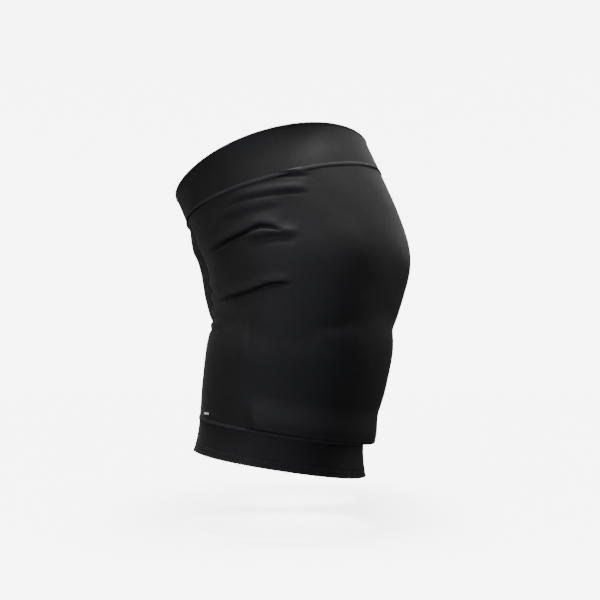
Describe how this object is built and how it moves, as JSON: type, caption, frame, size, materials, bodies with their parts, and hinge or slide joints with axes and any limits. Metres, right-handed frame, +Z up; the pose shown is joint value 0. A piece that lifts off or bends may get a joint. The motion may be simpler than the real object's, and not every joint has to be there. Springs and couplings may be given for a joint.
{
  "type": "groin protector",
  "caption": "Compression shorts with a wide waistband and leg cuffs, and a vented hard cup that lifts out of a flapped pocket behind the front panel.",
  "frame": {"origin": "centre of the waist opening", "axes": "+Z up the worn garment, -Y to its front, +X to the wearer's left"},
  "size_m": [0.344, 0.256, 0.3617],
  "materials": {
    "knit": "satin",
    "band": "satin",
    "elastic": "matte",
    "mesh": "matte",
    "thread": "matte",
    "grip": "satin",
    "cup": "gloss",
    "rim": "matte",
    "pad": "matte",
    "tape": "matte",
    "label": "matte"
  },
  "bodies": {
    "garment": {"waistband": "band", "waist_elastic": "elastic", "front_panel": "knit", "crotch_gusset": "knit", "left_leg_panel": "knit", "right_leg_panel": "knit", "left_cuff": "band", "right_cuff": "band", "waist_seam": "thread", "back_seam": "thread", "left_front_seam": "thread", "right_front_seam": "thread", "left_cuff_seam": "thread", "right_cuff_seam": "thread", "left_grip_strip": "grip", "right_grip_strip": "grip", "care_label": "label", "loop_patch": "tape", "hem_tab": "label", "pocket_back": "mesh", "pocket_wall": "mesh", "pocket_binding": "elastic"},
    "cup": {"cup_shell": "cup", "cup_rim": "rim", "cup_pad": "pad"},
    "flap": {"pocket_flap": "mesh", "flap_hook_tape": "tape"}
  },
  "joints": [
    {"name": "cup_lift", "type": "slide", "parent": "garment", "child": "cup", "axis": [0, -0.1736, 0.9848], "range_m": [0, 0.175]},
    {"name": "flap_fold", "type": "hinge", "parent": "garment", "child": "flap", "pos_m": [0, -0.03994, -0.05145], "axis": [1, 0, 0], "range_deg": [0, 268]}
  ]
}
